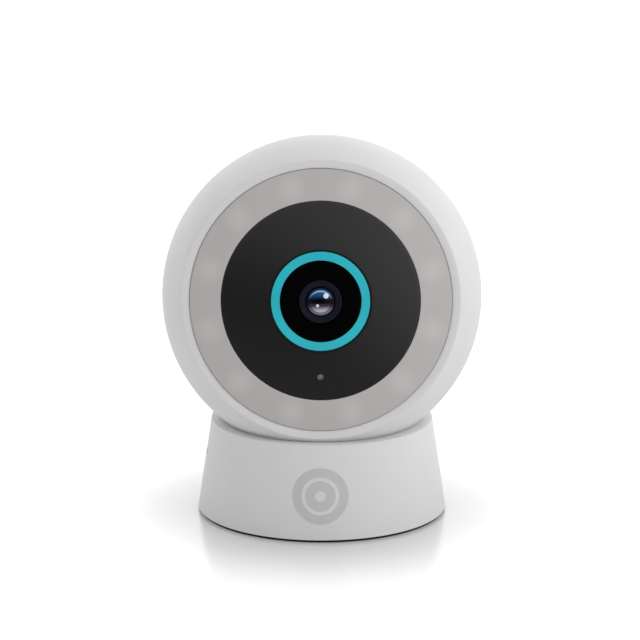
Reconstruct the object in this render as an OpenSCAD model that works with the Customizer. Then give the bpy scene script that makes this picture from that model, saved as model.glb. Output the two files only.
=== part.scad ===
// Pan and tilt security camera with a ring floodlight: a ball head on a conical base.
// Millimetres, +Z up, the lens looks towards -Y, the origin is at the centre of the foot's underside.

/* [Head] */
// Outer radius of the ball head
head_r = 45; // [42:0.5:54]
// Wall of the two head shells
head_wall = 2.2; // [1.6:0.1:2.8]
// Height of the ball's underside above the table
ball_lift = 17.3; // [17.3:0.1:24]
// How far the lens looks up when the joints are at rest, in degrees
rest_tilt = 9; // [0:1:20]
// Distance from the ball's centre forward to the flat rim round the face
face_depth = 23.46; // [22:0.1:25]
// Distance from the ball's centre back to the seam between the shells
seam_back = 8; // [7.5:0.1:10]

/* [Face] */
// Width of the flat rim round the light diffuser
face_rim_w = 2.4; // [1.6:0.1:3.4]
// Outer radius of the black panel
panel_r = 27.3; // [26:0.1:28.5]
// Outer radius of the status ring
status_r = 13.5; // [12.5:0.1:15]
// Inner radius of the status ring
status_inner_r = 11.2; // [10.6:0.1:11.6]
// Radius of the sphere that the face's dome is part of
dome_r = 113; // [95:1:140]
// How far the edge of the dome stands in front of the flat rim
edge_lift = 0.35; // [0.1:0.05:0.8]
// Thickness of the diffuser and the panel
dome_wall = 1.8; // [1.2:0.1:2.2]
// Gap between neighbouring face pieces
face_gap = 0.06; // [0.04:0.01:0.2]
// Distance of the microphone port below the lens
mic_drop = 20.9; // [19:0.1:23]
// Radius of the microphone port
mic_r = 0.9; // [0.6:0.1:1.2]

/* [Floodlight] */
// Number of white lamps in the ring
lamp_count = 12; // [6:1:18]
// Number of infrared lamps behind the panel
ir_count = 8; // [4:2:10]

/* [Lens] */
// Radius of the lens barrel
barrel_r = 5.8; // [5:0.1:6.5]
// Radius of the front glass
glass_r = 4; // [3.4:0.1:4.4]
// Radius of curvature of the front glass
glass_curve = 5.6; // [5:0.1:9]

/* [Base] */
// Radius of the base at its bottom edge
base_r = 35.3; // [34.5:0.1:43]
// Width of the base's flat rim
rim_w = 3.18; // [2.8:0.02:4]
// Height of the rim above the table
rim_z = 26.8; // [26:0.1:30]
// Wall of the base shell
base_wall = 2.2; // [1.6:0.1:2.6]
// Running gap between the rim and the ball
rim_gap = 0.35; // [0.3:0.05:0.9]
// Height of the rubber foot under the shell
foot_h = 0.8; // [0.6:0.1:1.5]
// Radius of the printed badge
badge_r = 7.75; // [5:0.25:9]
// Height of the badge's centre
badge_z = 12.9; // [11:0.1:15]

/* [Drive] */
// Module of the pan and tilt gears
gear_module = 0.5; // [0.45:0.01:0.52]
// Teeth of the pan gear on the turntable
pan_teeth = 60; // [56:1:64]
// Teeth of the tilt gear on the axle
tilt_teeth = 40; // [36:1:44]
// Teeth of both motor pinions
pinion_teeth = 12; // [12:1:14]
// Radius of the neck that carries the head
neck_r = 7; // [6.8:0.1:7.4]
// Radius of the tilt axle
axle_r = 3.5; // [3:0.1:4.2]
// Tilt below the rest pose, in degrees
tilt_down = 20; // [10:1:22]
// Tilt above the rest pose, in degrees
tilt_up = 45; // [30:1:48]
// Radial clearance of each running fit
running_gap = 0.05; // [0.02:0.01:0.09]

/* [Ports] */
// Width of the power opening in the shell
power_w = 12.4; // [11:0.1:14]
// Height of the power opening in the shell
power_h = 6.4; // [5.6:0.1:7]
// Radius of the reset button
button_r = 2; // [1.5:0.1:2.4]
// Angle of the reset button from straight back, in degrees
button_turn = 24; // [20:1:30]
// Radius of the tripod thread's wall
tripod_r = 2.6; // [2.5:0.05:3]
// Length of the tripod thread
tripod_l = 6; // [5:0.5:7]

/* [Hidden] */
$fn = 96;

eps = 0.01;
cut = 1;                                   // how far a cutter runs past the face that it opens
white_plastic = [0.86, 0.86, 0.86];
board_green = [0.10, 0.30, 0.18];
board_black = [0.10, 0.10, 0.11];
steel = [0.72, 0.73, 0.75];

// Head, in the face's own frame: z forward along the lens, y up, the ball's centre at the origin
head_z = head_r + ball_lift;
head_in = head_r - head_wall;
diffuser_r = sqrt(head_r^2 - face_depth^2) - face_rim_w;
dome_crown = face_depth + edge_lift + dome_r - sqrt(dome_r^2 - diffuser_r^2);
rim_flange = 2.4;                          // thickness of the flat rim round the face
ledge_z = face_depth - 6.06;               // the ledge in the front shell that the frame seats on
ledge_h = 1.2;
frame_t = 1.4;
frame_r = sqrt(head_in^2 - ledge_z^2) - 0.4;
ledge_r = diffuser_r + 1;
sink_t = 2;
sink_r = diffuser_r + 0.4;
board_t = 1.2;
lamp_h = 0.8;
lamp_ring_r = (panel_r + diffuser_r) / 2;
barrier_t = 1.2;                           // wall between the floodlight and the camera
ir_board_z = ledge_z + 2.6;
ir_ring_r = (panel_r + status_r) / 2;
status_lamp_r = (status_r + status_inner_r) / 2;
holder_z = ledge_z - 3;
holder_h = 5.4;
holder_w = 15;
collar_r = barrel_r + 1.6;
filter_z = holder_z + 2.2;
filter_w = 8.4;
filter_t = 1.2;
filter_gap = 0.2;
filter_travel = 8.4;
sensor_board_w = 30;
main_board_z = holder_z - 4;
main_board = [52, 28];
head_boss_r = 3;
boss_gap = 0.15;                           // the screw bosses stop short of the seam
head_boss_at = head_in - 5.3;              // distance of the screw bosses from the lens axis
head_boss_turns = [35, 145, 215, 325];
screw_seat = 18;                           // depth of the screw heads behind the ball's centre
screw_head_r = 2.3;
screw_r = 1.2;
speaker_r = 12;
speaker_turn = -168;                       // the speaker looks back and 12 degrees up
speaker_out = head_in - 5.2;
speaker_h = 4.6;
grille_rings = 3;
grille_pitch = 2.6;
grille_hole_r = 0.7;

// Slot for the neck, as angles below the lens axis
neck_gap = 1.4;                            // clearance round the neck in the slot
slot_half = neck_r + neck_gap;
slot_mid = 120;                            // turns the rear shell's poles into the slot
slot_first = 90 + rest_tilt - tilt_down;   // where the neck stands at the lower limit
slot_last = 90 + rest_tilt + tilt_up;      // and at the upper limit
liner_wall = 1.4;
liner_half = slot_half + liner_wall;
hub_r = neck_r + 0.6;
hub_gap = 1;
hub_half = slot_half - 0.8;                // half the length of the neck's top hub
boss_end = liner_half + 2.4;               // outer end of the bush bosses
bush_r = axle_r + 1.7;
bush_boss_r = bush_r + 1.8;
flange_proud = 0.1;                        // how far the motor's flange stands over the liner's wall

// Gears
pressure_angle = 25;
backlash = 0.1;
gear_w = 3;
tilt_gear_x = boss_end + 0.8;              // inner face of the tilt gear, on the left of the liner
pan_centre = gear_module * (pan_teeth + pinion_teeth) / 2;
tilt_centre = gear_module * (tilt_teeth + pinion_teeth) / 2;
tilt_motor_turn = 135;                     // the tilt motor sits behind and above the axle
motor_r = 10;
shaft_r = 1;
shaft_in = 2;                              // length of output shaft inside the motor
nose_r = 2.5;
nose_h = 0.6;
ear_hole_r = 0.9;
tilt_motor_l = 10;
bracket_t = 1.4;
bracket_x = tilt_gear_x + gear_w + 0.6;

// Base
rim_r = sqrt((head_r + rim_gap)^2 - (head_z - rim_z)^2) + rim_w;
shell_bottom = foot_h;
cone_slope = (base_r - rim_r) / (rim_z - shell_bottom);
plate_t = 2;
plate_top = shell_bottom + plate_t;
plate_gap = 0.2;
flange_t = 2.2;
boss_r = 3;
boss_at = base_r - 6.2;
boss_turns = [45, 135, 225, 315];
frame_z = 10;                              // underside of the base frame
base_frame_t = 1.6;
washer_t = 0.8;
washer_r = 10.5;
table_z = frame_z + base_frame_t + washer_t;
table_t = 2.8;
table_top = table_z + table_t;
sleeve_r = 4;
sleeve_bore = 2.9;
pan_bush_r = 5.5;
pan_bush_l = 5.8;
flange_r = 12.5;
neck_flange_t = 1.2;
stop_at = washer_r + 1.9;                  // radius of the pan stop's circle
stop_r = 0.8;
ballast_t = 1.2;
ballast_r = boss_at - boss_r - 0.8;
insert_r = 5;
power_board_z = 4.8;
power_board_y = [9.5, base_r - 7.8];
board_posts = [for (x = [-13, 13], y = [power_board_y[0] + 2.5, power_board_y[1] - 7.5]) [x, y]];
jack_z = power_board_z + board_t + 1.6;    // centre height of the power jack
button_z = 7;
button_face = base_r - cone_slope * (button_z - shell_bottom);
button_travel = 0.6;
switch_at = button_face - base_wall - 7.6;
card_z = 17.6;                             // centre height of the card slot
card_x = -(base_r - cone_slope * (card_z - shell_bottom) - base_wall - 2.4);   // inner end of its mouth
card_w = 11;                               // size of the memory card that the socket takes
card_t = 0.7;
card_board_z = 15.8;
facet_depth = 0.25;
badge_t = 0.3;

function cone_r(z) = base_r - cone_slope * (z - shell_bottom);
function dome_z(r) = dome_crown - dome_r + sqrt(dome_r^2 - r^2);
function below(a) = [-cos(a), -sin(a)];     // direction at an angle below the lens axis
function involute(a) = tan(a) * 180 / PI - a;

// ---------- placing ----------

// The face's frame: children are drawn with z forward and y up
module in_face() {
    translate([0, 0, head_z]) rotate([90 - rest_tilt, 0, 0]) children();
}

// A copy at each lamp's place on a ring, turned outwards
module on_ring(count, r, z, start = 0) {
    for (i = [0 : count - 1])
        rotate([0, 0, start + i * 360 / count]) translate([r, 0, z]) children();
}

module at_turns(turns, r, z = 0) {
    for (a = turns) rotate([0, 0, a]) translate([r, 0, z]) children();
}

// ---------- shapes ----------

module tube(outer, inner, h) {
    difference() {
        cylinder(r = outer, h = h);
        translate([0, 0, -cut]) cylinder(r = inner, h = h + 2 * cut);
    }
}

// Ring between two radii whose front is the face's dome, back to the dome's inner side
module dome_ring(outer, inner) {
    difference() {
        intersection() {
            translate([0, 0, dome_crown - dome_r]) sphere(r = dome_r);
            translate([0, 0, holder_z]) cylinder(r = outer, h = dome_crown);
        }
        translate([0, 0, dome_crown - dome_r]) sphere(r = dome_r - dome_wall);
        if (inner > 0) cylinder(r = inner, h = 2 * dome_crown);
    }
}

// Everything behind the dome's inner side
module behind_dome() {
    intersection() {
        translate([0, 0, dome_crown - dome_r]) sphere(r = dome_r - dome_wall);
        children();
    }
}

// Space that the neck sweeps in the head from limit to limit, as one prism across the head
module neck_sweep(half_x, half_y, reach) {
    steps = 5;
    span = slot_last - slot_first;
    front = half_y * below(slot_first - 90);
    back = half_y * below(slot_last + 90);
    rotate([0, 90, 0]) translate([0, 0, -half_x]) linear_extrude(2 * half_x)
        polygon(concat([front, front + reach * below(slot_first)],
            [for (i = [1 : steps - 1]) reach * below(slot_first + span * i / steps)],
            [back + reach * below(slot_last), back]));
}

// Outline of a spur gear with a tooth centred on the x axis
module gear_outline(teeth) {
    pitch = gear_module * teeth / 2;
    base = pitch * cos(pressure_angle);
    root = pitch - 1.25 * gear_module;
    tip = pitch + 0.95 * gear_module;
    low = max(base, root + 0.1 * gear_module);
    half = 90 / teeth - backlash / pitch * 90 / PI + involute(pressure_angle);
    flank = [for (i = [0 : 3]) let (r = low + (tip - low) * i / 3) [r, half - involute(acos(base / r))]];
    root_half = min(half, 180 / teeth - 0.6);
    polygon([for (k = [0 : teeth - 1]) each concat(
        [root * [cos(k * 360 / teeth - root_half), sin(k * 360 / teeth - root_half)]],
        [for (p = flank) p[0] * [cos(k * 360 / teeth - p[1]), sin(k * 360 / teeth - p[1])]],
        [for (i = [3 : -1 : 0]) flank[i][0]
            * [cos(k * 360 / teeth + flank[i][1]), sin(k * 360 / teeth + flank[i][1])]],
        [root * [cos(k * 360 / teeth + root_half), sin(k * 360 / teeth + root_half)]])]);
}

module gear(teeth, w, bore) {
    difference() {
        linear_extrude(w) gear_outline(teeth);
        translate([0, 0, -cut]) cylinder(r = bore, h = w + 2 * cut);
    }
}

// Countersunk screw with its head's top at z = 0, pointing down
module screw(length, head_r, body_r) {
    difference() {
        union() {
            translate([0, 0, -1.2]) cylinder(r = head_r, h = 1.2);
            translate([0, 0, -length]) cylinder(r = body_r, h = length - 1.2 + eps);
        }
        for (a = [0, 90]) rotate([0, 0, a]) translate([-head_r * 0.6, -0.25, -0.6]) cube([head_r * 1.2, 0.5, 1]);
    }
}

// Geared motor with its two ears and nose at the output end, and a well for the output shaft
module motor_can(r, l) {
    ear = r + 1.4;
    difference() {
        union() {
            cylinder(r = r, h = l);
            translate([0, 0, l - eps]) cylinder(r = nose_r, h = nose_h + eps);
            translate([-ear, -2, l - 0.8]) cube([2 * ear, 4, 0.8]);
            for (s = [-1, 1]) translate([s * ear, 0, l - 0.8]) cylinder(r = 2, h = 0.8);
        }
        for (s = [-1, 1]) translate([s * ear, 0, l - 0.8 - cut]) cylinder(r = ear_hole_r, h = 3);
        translate([0, 0, l - shaft_in - 0.4]) cylinder(r = shaft_r + running_gap, h = shaft_in + 3);
    }
}

// Pinion pressed on its motor's output shaft, which runs down from it
module pinion_shaft(shaft_l) {
    linear_extrude(gear_w) gear_outline(pinion_teeth);
    translate([0, 0, -shaft_l]) cylinder(r = shaft_r, h = shaft_l + eps);
}

// ---------- base ----------

module cone_solid(grow) {
    translate([0, 0, shell_bottom])
        cylinder(r1 = base_r + grow, r2 = rim_r + grow, h = rim_z - shell_bottom);
}

module base_shell() {
    color(white_plastic) difference() {
        union() {
            difference() {
                cone_solid(0);
                translate([0, 0, shell_bottom - cut]) cylinder(
                    r1 = base_r - base_wall + cone_slope * cut,
                    r2 = cone_r(rim_z - flange_t) - base_wall, h = rim_z - flange_t - shell_bottom + cut);
                translate([0, 0, head_z]) sphere(r = head_r + rim_gap);
            }
            intersection() {
                at_turns(boss_turns, boss_at, plate_top) {
                    cylinder(r = boss_r, h = frame_z - plate_top);
                    translate([0, -1, 0]) cube([6, 2, frame_z - plate_top]);
                }
                cone_solid(-base_wall / 2);
            }
        }
        at_turns(boss_turns, boss_at, plate_top - cut) cylinder(r = screw_r, h = frame_z);
        translate([-power_w / 2, base_r - 9, jack_z - power_h / 2]) cube([power_w, 12, power_h]);
        button_frame() rotate([90, 0, 0]) translate([0, 0, -base_r - 2]) cylinder(r = button_r + 0.15, h = 8);
        translate([-base_r - 2, -card_w / 2 - 0.5, card_z - 0.7]) cube([8, card_w + 1, 1.4]);
        thumb_facet();
        intersection() {
            difference() {
                cone_solid(cut);
                cone_solid(-badge_t);
            }
            badge_cutter(badge_r + 0.1);
        }
    }
}

// Shallow flat over the card slot, deepest at its lower edge
module thumb_facet() {
    low = card_z - 2.5;
    high = rim_z - 2.2;
    translate([-cone_r(low) + facet_depth, 0, low])
        rotate([0, atan((cone_r(low) - cone_r(high) - facet_depth) / (high - low)), 0])
            translate([-4, -8, 0]) cube([4, 16, high - low + 0.5]);
}

module badge_cutter(r) {
    translate([0, 0, badge_z]) rotate([90, 0, 0]) cylinder(r = r, h = base_r + 5);
}

module front_badge() {
    color([0.62, 0.62, 0.63]) intersection() {
        difference() {
            cone_solid(0.05);
            cone_solid(-badge_t);
        }
        badge_cutter(badge_r);
    }
}

module base_plate() {
    color(white_plastic) difference() {
        union() {
            translate([0, 0, shell_bottom]) cylinder(r = base_r - base_wall - plate_gap - 0.3, h = plate_t);
            translate([0, 0, shell_bottom]) cylinder(r = insert_r + 2.2, h = tripod_l + 2);
            for (at = board_posts)
                translate([at[0], at[1], shell_bottom]) {
                    cylinder(r = 1.8, h = power_board_z - shell_bottom);
                    cylinder(r = 0.8 - eps, h = power_board_z - shell_bottom + board_t + 0.6);
                }
        }
        translate([0, 0, shell_bottom - cut]) cylinder(r = insert_r, h = tripod_l + cut);
        at_turns(boss_turns, boss_at, shell_bottom - cut) cylinder(r = screw_r + 0.2, h = 5);
        at_turns(boss_turns, boss_at, shell_bottom - cut) cylinder(r = screw_head_r + 0.1, h = cut + 1.3);
    }
}

module foot_ring() {
    color([0.04, 0.04, 0.045]) tube(base_r - 0.6, 24, foot_h);
}

module tripod_insert() {
    color([0.78, 0.62, 0.3]) translate([0, 0, shell_bottom]) tube(insert_r, tripod_r, tripod_l);
}

module ballast_plate() {
    color(steel) difference() {
        translate([0, 0, plate_top]) tube(ballast_r, insert_r + 3, ballast_t);
        translate([-motor_r - 0.8, -base_r, plate_top - cut]) cube([2 * motor_r + 1.6, base_r, 4]);
        for (at = board_posts) translate([at[0], at[1], plate_top - cut]) cylinder(r = 2.3, h = 4);
    }
}

module base_frame() {
    color([0.80, 0.80, 0.79]) difference() {
        union() {
            translate([0, 0, frame_z]) cylinder(r = cone_r(frame_z + base_frame_t) - base_wall - 0.4, h = base_frame_t);
            translate([0, 0, frame_z]) cylinder(r = sleeve_r, h = table_z + pan_bush_l + 1 - frame_z);
            translate([-1.2, stop_at - 0.8, frame_z]) cube([2.4, 1.6, base_frame_t + 0.5]);
            for (y = [-6, 6]) translate([card_x + 2.2, y, frame_z]) {
                cylinder(r = 1.6, h = card_board_z - frame_z);
                cylinder(r = 0.6 - eps, h = card_board_z - frame_z + 0.8);
            }
        }
        translate([0, 0, frame_z - cut]) cylinder(r = sleeve_bore, h = 20);
        translate([0, -pan_centre, frame_z - cut]) cylinder(r = 2.7, h = 4);
        at_turns(boss_turns, boss_at, frame_z - cut) cylinder(r = screw_r + 0.1, h = 5);
        translate([-power_w / 2 - 1, power_board_y[1] - 1, frame_z - cut]) cube([power_w + 2, 12, 4]);
        for (s = [-1, 1]) translate([s * (motor_r + 1.4), -pan_centre, frame_z - cut]) cylinder(r = 0.9, h = 4);
    }
}

module base_screws() {
    color(steel) {
        at_turns(boss_turns, boss_at, shell_bottom + 0.1) rotate([180, 0, 0])
            screw(5, screw_head_r, screw_r - eps);
        at_turns(boss_turns, boss_at, frame_z + base_frame_t + 1.2) screw(4.6, screw_head_r - 0.2, screw_r - eps);
        for (s = [-1, 1]) translate([s * (motor_r + 1.4), -pan_centre, frame_z + base_frame_t + 0.8])
            difference() {
                union() {
                    translate([0, 0, -0.8]) cylinder(r = 1.6, h = 0.8);
                    translate([0, 0, -3.2]) cylinder(r = 0.9 - eps, h = 2.4 + eps);
                }
                translate([-1, -0.2, -0.4]) cube([2, 0.4, 1]);
            }
    }
}

module power_board() {
    color(board_green) difference() {
        translate([-15, power_board_y[0], power_board_z])
            cube([30, power_board_y[1] - power_board_y[0], board_t]);
        for (at = board_posts) translate([at[0], at[1], power_board_z - cut]) cylinder(r = 0.8, h = 4);
        button_frame() rotate([-90, 0, 0]) translate([0, 0, button_face - base_wall - 4])
            cylinder(r = button_r + 1.2, h = 10);
    }
}

module power_board_parts() {
    top = power_board_z + board_t;
    color([0.13, 0.13, 0.14]) {
        translate([-4, power_board_y[0] + 1.5, top]) cube([6, 5, 1.2]);
        translate([5, power_board_y[0] + 2, top]) cube([4, 4, 2.2]);
        translate([8.5, power_board_y[0] + 11, top]) cylinder(r = 2.2, h = 3.4);
        translate([-13.5, power_board_y[0] + 5.5, top]) cube([5, 3.2, 2.8]);
        for (i = [0 : 4]) translate([-6 + 2.4 * i, power_board_y[0] + 8.4, top]) cube([1.2, 0.7, 0.5]);
    }
}

module usb_c_jack() {
    outer_w = 8.9;
    outer_h = 3.2;
    depth = 7.3;
    color(steel) translate([0, base_r - 4.2, jack_z]) rotate([90, 0, 0]) difference() {
        rounded_bar(outer_w, outer_h, depth);
        translate([0, 0, -cut]) rounded_bar(outer_w - 0.6, outer_h - 0.6, depth - 0.5 + cut);
    }
    color(board_black) translate([-3.3, base_r - 4.2 - depth + 0.4, jack_z - 0.35]) cube([6.6, depth - 1.2, 0.7]);
}

// Bar along z with rounded ends
module rounded_bar(w, h, l) {
    linear_extrude(l) hull() for (s = [-1, 1]) translate([s * (w - h) / 2, 0]) circle(r = h / 2, $fn = 32);
}

module button_frame() {
    rotate([0, 0, button_turn]) translate([0, 0, button_z]) children();
}

module reset_button() {
    color([0.80, 0.80, 0.80]) button_frame() rotate([-90, 0, 0]) {
        translate([0, 0, button_face - base_wall - 2.4]) cylinder(r = button_r, h = base_wall + 2.2);
        translate([0, 0, button_face - base_wall - 1.4]) cylinder(r = button_r + 0.6, h = 0.8);
    }
}

module reset_switch() {
    stem = button_face - base_wall - 2.4 - button_travel - 0.3 - switch_at;
    color(board_black) button_frame() {
        translate([-2.4, switch_at - 2.2, power_board_z + board_t - button_z]) cube([4.8, 3.4, 3.4]);
        rotate([-90, 0, 0]) translate([0, 0, switch_at]) cylinder(r = 1, h = stem);
    }
}

module card_board() {
    color(board_green) difference() {
        translate([card_x - 0.2, -8, card_board_z]) cube([11.4, 16, 0.8]);
        for (y = [-6, 6]) translate([card_x + 2.2, y, card_board_z - cut]) cylinder(r = 0.6, h = 4);
    }
}

module card_socket() {
    bottom = card_board_z + 0.8;
    color(steel) difference() {
        translate([card_x, -6.8, bottom]) cube([11, 13.6, card_z - bottom + 0.9]);
        translate([card_x - cut, -card_w / 2 - 0.25, card_z - card_t / 2 - 0.15])
            cube([11 + cut - 0.6, card_w + 0.5, card_t + 0.3]);
    }
}

module pan_motor() {
    color(steel) translate([0, -pan_centre, plate_top + 0.1])
        motor_can(motor_r, frame_z - plate_top - 0.1);
}

module pan_pinion() {
    color([0.9, 0.9, 0.86]) translate([0, -pan_centre, table_z - 0.1])
        rotate([0, 0, 90 + 180 / pinion_teeth]) pinion_shaft(table_z - 0.1 - frame_z + shaft_in);
}

module thrust_washer() {
    color([0.9, 0.9, 0.86]) translate([0, 0, frame_z + base_frame_t]) tube(washer_r, pan_bush_r + 1, washer_t - 0.05);
}

// ---------- pan carrier ----------

module turntable() {
    color([0.9, 0.9, 0.86]) {
        difference() {
            translate([0, 0, table_z]) rotate([0, 0, -90]) gear(pan_teeth, table_t, pan_bush_r);
            at_turns([0, 120, 240], 9.8, table_z - cut) cylinder(r = 0.8, h = 6);
        }
        translate([0, -stop_at, table_z - 0.5]) cylinder(r = stop_r, h = 0.5 + eps);
    }
}

module pan_bush() {
    color([0.78, 0.62, 0.3]) translate([0, 0, table_z]) tube(pan_bush_r, sleeve_r + running_gap, pan_bush_l);
}

module pan_clip() {
    color(steel) translate([0, 0, table_z + pan_bush_l + 0.2]) difference() {
        tube(pan_bush_r - 0.4, sleeve_r, 0.6);
        translate([0, -1.2, -cut]) cube([10, 2.4, 3]);
    }
}

module neck_column() {
    color(white_plastic) difference() {
        union() {
            translate([0, 0, table_top]) cylinder(r = flange_r, h = neck_flange_t);
            translate([0, 0, table_top]) cylinder(r = neck_r, h = head_z - table_top);
            translate([0, 0, head_z]) rotate([0, 90, 0]) cylinder(r = hub_r, h = 2 * hub_half, center = true);
        }
        translate([0, 0, table_top - cut]) cylinder(r = pan_bush_r, h = table_z + pan_bush_l + 1.6 - table_top + cut);
        translate([0, 0, table_top]) cylinder(r = neck_r - 2.4, h = head_z - table_top);
        translate([0, 0, head_z]) rotate([0, 90, 0]) cylinder(r = axle_r, h = 4 * hub_half, center = true);
        at_turns([0, 120, 240], 9.8, table_top - cut) cylinder(r = 1, h = 4);
    }
}

module neck_screws() {
    color(steel) at_turns([0, 120, 240], 9.8, table_top + neck_flange_t + 0.8) difference() {
        union() {
            translate([0, 0, -0.8]) cylinder(r = 1.6, h = 0.8);
            translate([0, 0, -4]) cylinder(r = 0.8 - eps, h = 3.2 + eps);
        }
        translate([-1, -0.2, -0.4]) cube([2, 0.4, 1]);
    }
}

module tilt_axle() {
    left = tilt_gear_x + gear_w;
    right = boss_end + 1.6;
    color(steel) translate([0, 0, head_z]) difference() {
        rotate([0, 90, 0]) translate([0, 0, -left]) cylinder(r = axle_r, h = left + right);
        rotate([0, 90, 0]) translate([0, 0, -left - cut]) cylinder(r = axle_r - 1.2, h = left + right + 2 * cut);
        translate([0, 0, -axle_r - cut]) cylinder(r = 1.6, h = axle_r + cut);
    }
}

module tilt_gear() {
    color([0.9, 0.9, 0.86]) in_face() rotate([0, -90, 0]) translate([0, 0, tilt_gear_x])
        rotate([0, 0, tilt_motor_turn]) gear(tilt_teeth, gear_w, axle_r);
}

module axle_clip() {
    color(steel) translate([boss_end + 0.3, 0, head_z]) rotate([0, 90, 0]) difference() {
        tube(axle_r + 1.6, axle_r, 0.8);
        translate([-1, -10, -cut]) cube([2, 10, 3]);
    }
}

// ---------- head drive ----------

// The tilt motor's frame: z along the axle to the left, the gears' centre line on x
module tilt_side() {
    in_face() rotate([0, -90, 0]) rotate([0, 0, tilt_motor_turn]) children();
}

module tilt_pinion() {
    color([0.9, 0.9, 0.86]) tilt_side() translate([tilt_centre, 0, tilt_gear_x])
        rotate([0, 0, 180 + 180 / pinion_teeth]) translate([0, 0, gear_w]) mirror([0, 0, 1])
            pinion_shaft(bracket_x + bracket_t + shaft_in - tilt_gear_x - gear_w);
}

module tilt_motor() {
    color(steel) tilt_side() translate([tilt_centre, 0, bracket_x + bracket_t + tilt_motor_l])
        rotate([0, 180, 90]) motor_can(motor_r, tilt_motor_l);
}

module motor_bracket() {
    post_r = 1.8;
    color([0.80, 0.80, 0.79]) tilt_side() difference() {
        union() {
            translate([tilt_centre, 0, bracket_x]) cylinder(r = motor_r, h = bracket_t);
            for (s = [-1, 1]) {
                translate([tilt_centre - 2, s * (motor_r + 1.4) - 2, bracket_x]) cube([4, 4, bracket_t]);
                translate([tilt_centre - 2, s * (motor_r + 1.4), liner_half + flange_proud])
                    cylinder(r = post_r, h = bracket_x - liner_half - flange_proud + bracket_t);
            }
            translate([tilt_centre - 3.8, -motor_r - 1.4, bracket_x]) cube([3.6, 2 * motor_r + 2.8, bracket_t]);
        }
        translate([tilt_centre, 0, bracket_x - cut]) cylinder(r = 2.7, h = 4);
        for (s = [-1, 1]) translate([tilt_centre, s * (motor_r + 1.4), bracket_x - cut]) cylinder(r = 0.7, h = 4);
    }
}

module slot_liner() {
    color(white_plastic) in_face() difference() {
        union() {
            intersection() {
                neck_sweep(liner_half, liner_half, head_r + 5);
                sphere(r = head_in - 0.3);
            }
            rotate([0, 90, 0])
                cylinder(r = hub_r + hub_gap + liner_wall, h = 2 * liner_half + 0.4, center = true);
            rotate([0, 90, 0]) cylinder(r = bush_boss_r, h = 2 * boss_end, center = true);
            // flange on the left side that the motor bracket's posts stand on
            rotate([0, -90, 0]) rotate([0, 0, tilt_motor_turn])
                translate([1, -motor_r - 3.6, slot_half + 0.2])
                    cube([tilt_centre + 1, 2 * motor_r + 7.2, liner_wall + flange_proud - 0.2]);
        }
        neck_sweep(slot_half, slot_half, head_r + 5);
        rotate([0, 90, 0]) cylinder(r = hub_r + hub_gap, h = 2 * slot_half + 0.1, center = true);
        rotate([0, 90, 0]) cylinder(r = bush_r, h = 3 * boss_end, center = true);
    }
}

module tilt_bushes() {
    color([0.78, 0.62, 0.3]) in_face() for (s = [-1, 1]) rotate([0, s * 90, 0])
        translate([0, 0, slot_half]) tube(bush_r, axle_r + running_gap, boss_end - slot_half);
}

// ---------- head shells ----------

module ball_slice(r, from, to, turn = 0) {
    intersection() {
        rotate([turn, 0, 0]) sphere(r = r);
        translate([0, 0, from]) cylinder(r = head_r + 5, h = to - from);
    }
}

module head_bosses(r, from, to) {
    intersection() {
        at_turns(head_boss_turns, 0) {
            translate([head_boss_at, 0, from]) cylinder(r = r, h = to - from);
            translate([head_boss_at, -1, from]) cube([6, 2, to - from]);
        }
        sphere(r = head_r - head_wall / 2);
    }
}

module front_shell() {
    color(white_plastic) in_face() difference() {
        union() {
            difference() {
                ball_slice(head_r, -seam_back, face_depth);
                ball_slice(head_in, -seam_back - cut, face_depth - rim_flange);
                translate([0, 0, -seam_back]) cylinder(r = diffuser_r + face_gap, h = head_r);
            }
            intersection() {
                translate([0, 0, ledge_z]) tube(head_r, ledge_r, ledge_h);
                sphere(r = head_r - head_wall / 2);
            }
            head_bosses(head_boss_r, boss_gap - seam_back, 6);
        }
        translate([-liner_half - 0.3, -head_in, ledge_z - 2]) cube([2 * liner_half + 0.6, 8, ledge_h + 2.1]);
        at_turns(head_boss_turns, head_boss_at, -seam_back - cut) cylinder(r = screw_r - 0.2, h = cut + 8);
        neck_sweep(slot_half, slot_half, head_r + 5);
    }
}

module speaker_frame() {
    rotate([speaker_turn, 0, 0]) children();
}

module rear_shell() {
    color(white_plastic) in_face() difference() {
        union() {
            difference() {
                ball_slice(head_r, -head_r, -seam_back, slot_mid);
                rotate([slot_mid, 0, 0]) sphere(r = head_in);
            }
            head_bosses(head_boss_r + 0.4, -head_r, -seam_back - boss_gap);
            intersection() {
                speaker_frame() translate([0, 0, speaker_out - speaker_h]) tube(speaker_r + 1.6, speaker_r + 0.2, 14);
                sphere(r = head_r - head_wall / 2);
            }
        }
        at_turns(head_boss_turns, head_boss_at, -head_r) cylinder(r = screw_head_r + 0.3, h = head_r - screw_seat);
        at_turns(head_boss_turns, head_boss_at, -head_r) cylinder(r = screw_r + 0.1, h = head_r);
        speaker_frame() for (ring = [0 : grille_rings])
            on_ring(max(1, 6 * ring), ring * grille_pitch, head_in - 2, 30)
                cylinder(r = grille_hole_r, h = 8, $fn = 24);
        neck_sweep(slot_half, slot_half, head_r + 5);
    }
}

module head_screws() {
    color(steel) in_face() at_turns(head_boss_turns, head_boss_at, -screw_seat)
        rotate([180, 0, 0]) translate([0, 0, 1.2]) screw(screw_seat + 1.2 - seam_back + 6, screw_head_r, screw_r - 0.2 - eps);
}

// ---------- face ----------

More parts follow.
